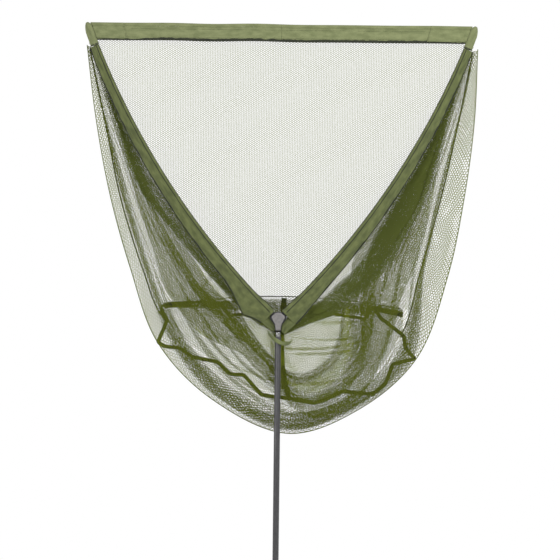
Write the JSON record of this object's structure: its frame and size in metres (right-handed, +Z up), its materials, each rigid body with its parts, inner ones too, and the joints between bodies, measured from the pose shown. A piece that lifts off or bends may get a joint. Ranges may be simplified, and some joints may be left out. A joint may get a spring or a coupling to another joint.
{
  "type": "landing net",
  "caption": "Triangular landing net with a two-piece handle, a screw-in spreader block, bowed pull-out arms and a deep mesh bag.",
  "frame": {"origin": "on the handle's axis at the middle of the hand grip", "axes": "+Z up along the handle towards the net, +Y towards the side that the bag hangs on, +X to the right as seen from the open side"},
  "size_m": [1.1866, 0.1603, 2.726],
  "materials": {
    "carbon": "satin",
    "block_plastic": "satin",
    "black_plastic": "matte",
    "black_rubber": "matte",
    "grip_foam": "matte",
    "bright_metal": "satin",
    "brass": "satin",
    "hem_cloth": "matte",
    "sleeve_cloth": "matte",
    "netting": "matte",
    "tape": "matte",
    "cord": "matte"
  },
  "bodies": {
    "handle_lower": {"lower_handle_tube": "carbon", "joint_ring": "black_plastic", "hand_grip": "grip_foam", "butt_cap": "black_rubber"},
    "handle_upper": {"upper_handle_tube": "carbon", "spigot": "carbon", "threaded_insert": "bright_metal"},
    "washer": {"lock_ring": "black_rubber"},
    "head": {"spreader_block": "block_plastic", "threaded_stud": "brass", "spreader_cord": "cord", "top_hem": "hem_cloth", "left_side_netting": "netting", "right_side_netting": "netting", "back_netting": "netting", "base_netting": "netting", "back_seam_tape": "tape", "base_seam_tape": "tape", "centre_tape": "tape", "retaining_strap": "sleeve_cloth"},
    "left_arm": {"left_arm_rod": "carbon", "left_arm_ferrule": "black_plastic", "left_tip_cap": "black_plastic", "left_cord_loop": "cord", "left_arm_sleeve": "sleeve_cloth", "left_corner_pocket": "hem_cloth"},
    "right_arm": {"right_arm_rod": "carbon", "right_arm_ferrule": "black_plastic", "right_tip_cap": "black_plastic", "right_cord_loop": "cord", "right_arm_sleeve": "sleeve_cloth", "right_corner_pocket": "hem_cloth"}
  },
  "joints": [
    {"name": "handle_pull_apart", "type": "slide", "parent": "handle_lower", "child": "handle_upper", "axis": [0, 0, 1], "range_m": [0, 0.095]},
    {"name": "head_rise", "type": "slide", "parent": "handle_upper", "child": "washer", "axis": [0, 0, 1], "range_m": [0, 0.0153]},
    {"name": "head_unscrew", "type": "hinge", "parent": "washer", "child": "head", "pos_m": [0, 0, 1.6285], "axis": [0, 0, 1], "range_deg": [0, 4320]},
    {"name": "left_arm_pull_out", "type": "slide", "parent": "head", "child": "left_arm", "axis": [-0.7133, 0, 0.7009], "range_m": [0, 0.046]},
    {"name": "right_arm_pull_out", "type": "slide", "parent": "head", "child": "right_arm", "axis": [0.7133, 0, 0.7009], "range_m": [0, 0.046]}
  ],
  "couplings": [
    {"joint": "head_rise", "follows": "head_unscrew", "m_per_rad": 0.00020213}
  ]
}
